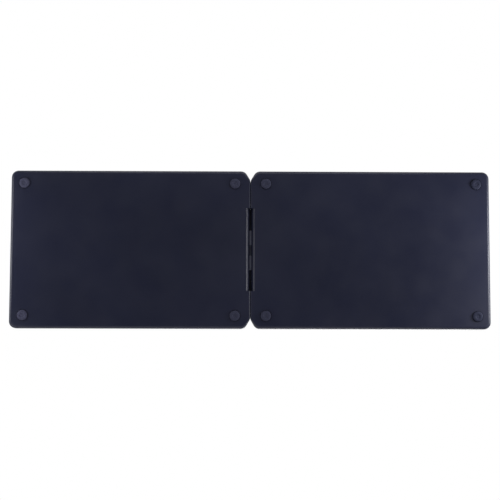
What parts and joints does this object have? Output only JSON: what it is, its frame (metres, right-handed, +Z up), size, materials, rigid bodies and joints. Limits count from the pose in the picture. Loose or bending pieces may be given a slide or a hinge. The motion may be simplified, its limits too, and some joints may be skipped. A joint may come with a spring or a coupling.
{
  "type": "folding keyboard",
  "caption": "Pocket keyboard in two equal flat halves, joined along the middle by a metal barrel hinge, with low keys above and round rubber feet below.",
  "frame": {"origin": "centre of the keyboard on the table, under the feet, opened flat", "axes": "+X along the keyboard to the typist's right, +Y to its back edge, +Z up through the keys"},
  "size_m": [0.291, 0.096, 0.0107],
  "materials": {
    "case": "fine matt texture",
    "keycap": "matt, slightly worn on top",
    "foot_rubber": "matt",
    "hinge_steel": "satin",
    "hinge_dark_steel": "dark satin",
    "pin_steel": "ground",
    "plate_steel": "rolled",
    "membrane": "satin film",
    "dome_rubber": "translucent matt",
    "board": "solder mask",
    "battery": "foil pouch",
    "socket_metal": "plated",
    "cable": "satin jacket",
    "magnet": "nickel plated",
    "light_pipe": "frosted clear",
    "screw_steel": "zinc plated"
  },
  "bodies": {
    "left_half": {"bottom_cover_left": "case", "top_frame_left": "case", "feet_left": "foot_rubber", "hinge_leaf_left": "hinge_steel", "hinge_pin": "pin_steel", "key_plate_left": "plate_steel", "membrane_left": "membrane", "domes_left": "dome_rubber", "battery": "battery", "link_cable_left": "cable", "magnets_left": "magnet", "screws_left": "screw_steel"},
    "right_half": {"bottom_cover_right": "case", "top_frame_right": "case", "feet_right": "foot_rubber", "hinge_leaf_right": "hinge_dark_steel", "key_plate_right": "plate_steel", "membrane_right": "membrane", "domes_right": "dome_rubber", "main_board": "board", "charge_socket": "socket_metal", "link_cable_right": "cable", "magnets_right": "magnet", "light_pipes": "light_pipe", "screws_right": "screw_steel"},
    "key_q": {"key_q": "keycap"},
    "key_w": {"key_w": "keycap"},
    "key_e": {"key_e": "keycap"},
    "key_r": {"key_r": "keycap"},
    "key_t": {"key_t": "keycap"},
    "key_a": {"key_a": "keycap"},
    "key_s": {"key_s": "keycap"},
    "key_d": {"key_d": "keycap"},
    "key_f": {"key_f": "keycap"},
    "key_g": {"key_g": "keycap"},
    "key_z": {"key_z": "keycap"},
    "key_x": {"key_x": "keycap"},
    "key_c": {"key_c": "keycap"},
    "key_v": {"key_v": "keycap"},
    "key_b": {"key_b": "keycap"},
    "space_left": {"space_left": "keycap"},
    "number_keys_left": {"number_keys_left": "keycap"},
    "modifier_keys_left": {"modifier_keys_left": "keycap"},
    "key_y": {"key_y": "keycap"},
    "key_u": {"key_u": "keycap"},
    "key_i": {"key_i": "keycap"},
    "key_o": {"key_o": "keycap"},
    "key_p": {"key_p": "keycap"},
    "key_h": {"key_h": "keycap"},
    "key_j": {"key_j": "keycap"},
    "key_k": {"key_k": "keycap"},
    "key_l": {"key_l": "keycap"},
    "key_n": {"key_n": "keycap"},
    "key_m": {"key_m": "keycap"},
    "space_right": {"space_right": "keycap"},
    "enter_key": {"enter_key": "keycap"},
    "backspace_key": {"backspace_key": "keycap"},
    "number_keys_right": {"number_keys_right": "keycap"},
    "punctuation_keys": {"punctuation_keys": "keycap"},
    "modifier_and_arrow_keys": {"modifier_and_arrow_keys": "keycap"}
  },
  "joints": [
    {"name": "fold_hinge", "type": "hinge", "parent": "left_half", "child": "right_half", "pos_m": [0, 0, 0.0088], "axis": [0, -1, 0], "range_deg": [0, 180]},
    {"name": "key_q_press", "type": "slide", "parent": "left_half", "child": "key_q", "axis": [0, 0, -1], "range_m": [0, 0.0013], "stiffness_N_per_m": 230, "springref_m": -0.0011, "deforming": ["domes_left"]},
    {"name": "key_w_press", "type": "slide", "parent": "left_half", "child": "key_w", "axis": [0, 0, -1], "range_m": [0, 0.0013], "stiffness_N_per_m": 230, "springref_m": -0.0011, "deforming": ["domes_left"]},
    {"name": "key_e_press", "type": "slide", "parent": "left_half", "child": "key_e", "axis": [0, 0, -1], "range_m": [0, 0.0013], "stiffness_N_per_m": 230, "springref_m": -0.0011, "deforming": ["domes_left"]},
    {"name": "key_r_press", "type": "slide", "parent": "left_half", "child": "key_r", "axis": [0, 0, -1], "range_m": [0, 0.0013], "stiffness_N_per_m": 230, "springref_m": -0.0011, "deforming": ["domes_left"]},
    {"name": "key_t_press", "type": "slide", "parent": "left_half", "child": "key_t", "axis": [0, 0, -1], "range_m": [0, 0.0013], "stiffness_N_per_m": 230, "springref_m": -0.0011, "deforming": ["domes_left"]},
    {"name": "key_a_press", "type": "slide", "parent": "left_half", "child": "key_a", "axis": [0, 0, -1], "range_m": [0, 0.0013], "stiffness_N_per_m": 230, "springref_m": -0.0011, "deforming": ["domes_left"]},
    {"name": "key_s_press", "type": "slide", "parent": "left_half", "child": "key_s", "axis": [0, 0, -1], "range_m": [0, 0.0013], "stiffness_N_per_m": 230, "springref_m": -0.0011, "deforming": ["domes_left"]},
    {"name": "key_d_press", "type": "slide", "parent": "left_half", "child": "key_d", "axis": [0, 0, -1], "range_m": [0, 0.0013], "stiffness_N_per_m": 230, "springref_m": -0.0011, "deforming": ["domes_left"]},
    {"name": "key_f_press", "type": "slide", "parent": "left_half", "child": "key_f", "axis": [0, 0, -1], "range_m": [0, 0.0013], "stiffness_N_per_m": 230, "springref_m": -0.0011, "deforming": ["domes_left"]},
    {"name": "key_g_press", "type": "slide", "parent": "left_half", "child": "key_g", "axis": [0, 0, -1], "range_m": [0, 0.0013], "stiffness_N_per_m": 230, "springref_m": -0.0011, "deforming": ["domes_left"]},
    {"name": "key_z_press", "type": "slide", "parent": "left_half", "child": "key_z", "axis": [0, 0, -1], "range_m": [0, 0.0013], "stiffness_N_per_m": 230, "springref_m": -0.0011, "deforming": ["domes_left"]},
    {"name": "key_x_press", "type": "slide", "parent": "left_half", "child": "key_x", "axis": [0, 0, -1], "range_m": [0, 0.0013], "stiffness_N_per_m": 230, "springref_m": -0.0011, "deforming": ["domes_left"]},
    {"name": "key_c_press", "type": "slide", "parent": "left_half", "child": "key_c", "axis": [0, 0, -1], "range_m": [0, 0.0013], "stiffness_N_per_m": 230, "springref_m": -0.0011, "deforming": ["domes_left"]},
    {"name": "key_v_press", "type": "slide", "parent": "left_half", "child": "key_v", "axis": [0, 0, -1], "range_m": [0, 0.0013], "stiffness_N_per_m": 230, "springref_m": -0.0011, "deforming": ["domes_left"]},
    {"name": "key_b_press", "type": "slide", "parent": "left_half", "child": "key_b", "axis": [0, 0, -1], "range_m": [0, 0.0013], "stiffness_N_per_m": 230, "springref_m": -0.0011, "deforming": ["domes_left"]},
    {"name": "space_left_press", "type": "slide", "parent": "left_half", "child": "space_left", "axis": [0, 0, -1], "range_m": [0, 0.0013], "stiffness_N_per_m": 230, "springref_m": -0.0011, "deforming": ["domes_left"]},
    {"name": "number_keys_left_press", "type": "slide", "parent": "left_half", "child": "number_keys_left", "axis": [0, 0, -1], "range_m": [0, 0.0013], "stiffness_N_per_m": 230, "springref_m": -0.0011, "deforming": ["domes_left"]},
    {"name": "modifier_keys_left_press", "type": "slide", "parent": "left_half", "child": "modifier_keys_left", "axis": [0, 0, -1], "range_m": [0, 0.0013], "stiffness_N_per_m": 230, "springref_m": -0.0011, "deforming": ["domes_left"]},
    {"name": "key_y_press", "type": "slide", "parent": "right_half", "child": "key_y", "axis": [0, 0, -1], "range_m": [0, 0.0013], "stiffness_N_per_m": 230, "springref_m": -0.0011, "deforming": ["domes_right"]},
    {"name": "key_u_press", "type": "slide", "parent": "right_half", "child": "key_u", "axis": [0, 0, -1], "range_m": [0, 0.0013], "stiffness_N_per_m": 230, "springref_m": -0.0011, "deforming": ["domes_right"]},
    {"name": "key_i_press", "type": "slide", "parent": "right_half", "child": "key_i", "axis": [0, 0, -1], "range_m": [0, 0.0013], "stiffness_N_per_m": 230, "springref_m": -0.0011, "deforming": ["domes_right"]},
    {"name": "key_o_press", "type": "slide", "parent": "right_half", "child": "key_o", "axis": [0, 0, -1], "range_m": [0, 0.0013], "stiffness_N_per_m": 230, "springref_m": -0.0011, "deforming": ["domes_right"]},
    {"name": "key_p_press", "type": "slide", "parent": "right_half", "child": "key_p", "axis": [0, 0, -1], "range_m": [0, 0.0013], "stiffness_N_per_m": 230, "springref_m": -0.0011, "deforming": ["domes_right"]},
    {"name": "key_h_press", "type": "slide", "parent": "right_half", "child": "key_h", "axis": [0, 0, -1], "range_m": [0, 0.0013], "stiffness_N_per_m": 230, "springref_m": -0.0011, "deforming": ["domes_right"]},
    {"name": "key_j_press", "type": "slide", "parent": "right_half", "child": "key_j", "axis": [0, 0, -1], "range_m": [0, 0.0013], "stiffness_N_per_m": 230, "springref_m": -0.0011, "deforming": ["domes_right"]},
    {"name": "key_k_press", "type": "slide", "parent": "right_half", "child": "key_k", "axis": [0, 0, -1], "range_m": [0, 0.0013], "stiffness_N_per_m": 230, "springref_m": -0.0011, "deforming": ["domes_right"]},
    {"name": "key_l_press", "type": "slide", "parent": "right_half", "child": "key_l", "axis": [0, 0, -1], "range_m": [0, 0.0013], "stiffness_N_per_m": 230, "springref_m": -0.0011, "deforming": ["domes_right"]},
    {"name": "key_n_press", "type": "slide", "parent": "right_half", "child": "key_n", "axis": [0, 0, -1], "range_m": [0, 0.0013], "stiffness_N_per_m": 230, "springref_m": -0.0011, "deforming": ["domes_right"]},
    {"name": "key_m_press", "type": "slide", "parent": "right_half", "child": "key_m", "axis": [0, 0, -1], "range_m": [0, 0.0013], "stiffness_N_per_m": 230, "springref_m": -0.0011, "deforming": ["domes_right"]},
    {"name": "space_right_press", "type": "slide", "parent": "right_half", "child": "space_right", "axis": [0, 0, -1], "range_m": [0, 0.0013], "stiffness_N_per_m": 230, "springref_m": -0.0011, "deforming": ["domes_right"]},
    {"name": "key_enter_press", "type": "slide", "parent": "right_half", "child": "enter_key", "axis": [0, 0, -1], "range_m": [0, 0.0013], "stiffness_N_per_m": 230, "springref_m": -0.0011, "deforming": ["domes_right"]},
    {"name": "key_backspace_press", "type": "slide", "parent": "right_half", "child": "backspace_key", "axis": [0, 0, -1], "range_m": [0, 0.0013], "stiffness_N_per_m": 230, "springref_m": -0.0011, "deforming": ["domes_right"]},
    {"name": "number_keys_right_press", "type": "slide", "parent": "right_half", "child": "number_keys_right", "axis": [0, 0, -1], "range_m": [0, 0.0013], "stiffness_N_per_m": 230, "springref_m": -0.0011, "deforming": ["domes_right"]},
    {"name": "punctuation_keys_press", "type": "slide", "parent": "right_half", "child": "punctuation_keys", "axis": [0, 0, -1], "range_m": [0, 0.0013], "stiffness_N_per_m": 230, "springref_m": -0.0011, "deforming": ["domes_right"]},
    {"name": "modifier_and_arrow_keys_press", "type": "slide", "parent": "right_half", "child": "modifier_and_arrow_keys", "axis": [0, 0, -1], "range_m": [0, 0.0013], "stiffness_N_per_m": 230, "springref_m": -0.0011, "deforming": ["domes_right"]}
  ]
}
